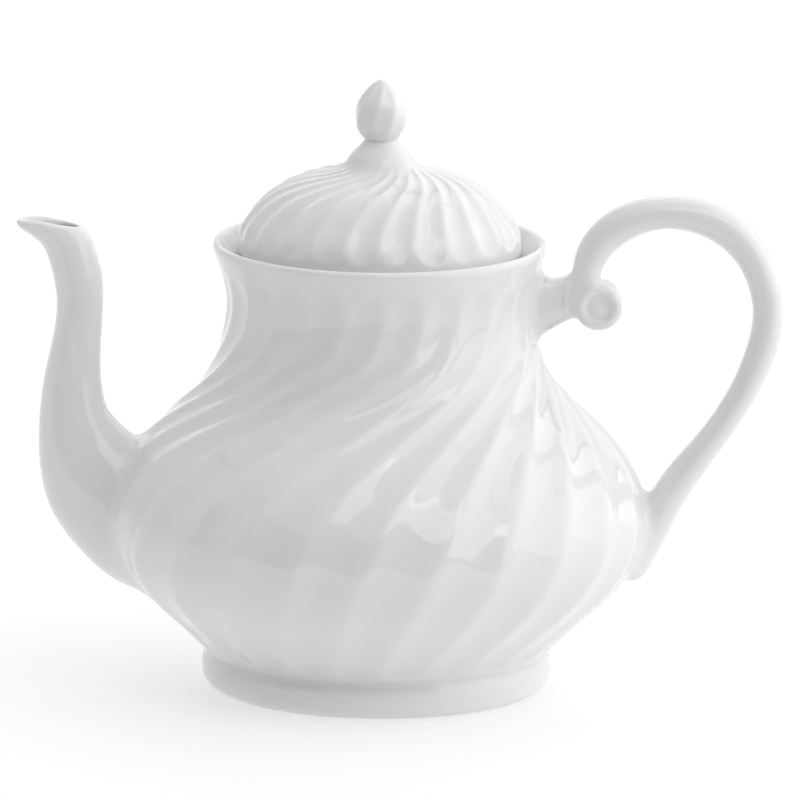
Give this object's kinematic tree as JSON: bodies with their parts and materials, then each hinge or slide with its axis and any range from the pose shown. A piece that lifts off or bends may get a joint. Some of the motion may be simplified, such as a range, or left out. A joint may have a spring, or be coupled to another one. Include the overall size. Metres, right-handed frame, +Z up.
{
  "type": "teapot",
  "caption": "White porcelain teapot with swirling scooped flutes, a curved spout, a scrolled loop handle and a loose domed lid with a bud knob, for brewing and pouring tea.",
  "frame": {"origin": "on the table the foot ring stands on, under the middle of the whole teapot's length and width; the pot's own axis is 6.3 mm towards the spout", "axes": "+Z up along the pot's axis, +X from the spout towards the handle, -Y the side seen in the picture"},
  "size_m": [0.2406, 0.1694, 0.1937],
  "materials": {
    "glaze": "clear gloss glaze over white porcelain",
    "bisque": "bare fired porcelain, wiped clean of glaze"
  },
  "bodies": {
    "pot": {"pot_body": "glaze", "foot_ring": "glaze", "spout": "glaze", "handle": "glaze", "handle_bracket": "glaze"},
    "lid_collar": {"lid_collar": "bisque"},
    "lid": {"lid_dome": "glaze", "lid_knob": "glaze"}
  },
  "joints": [
    {"name": "lid_lift", "type": "slide", "parent": "pot", "child": "lid_collar", "axis": [0, 0, 1], "range_m": [0, 0.09]},
    {"name": "lid_turn", "type": "hinge", "parent": "lid_collar", "child": "lid", "pos_m": [-0.00629, 0, 0.135], "axis": [0, 0, 1], "continuous": true}
  ]
}
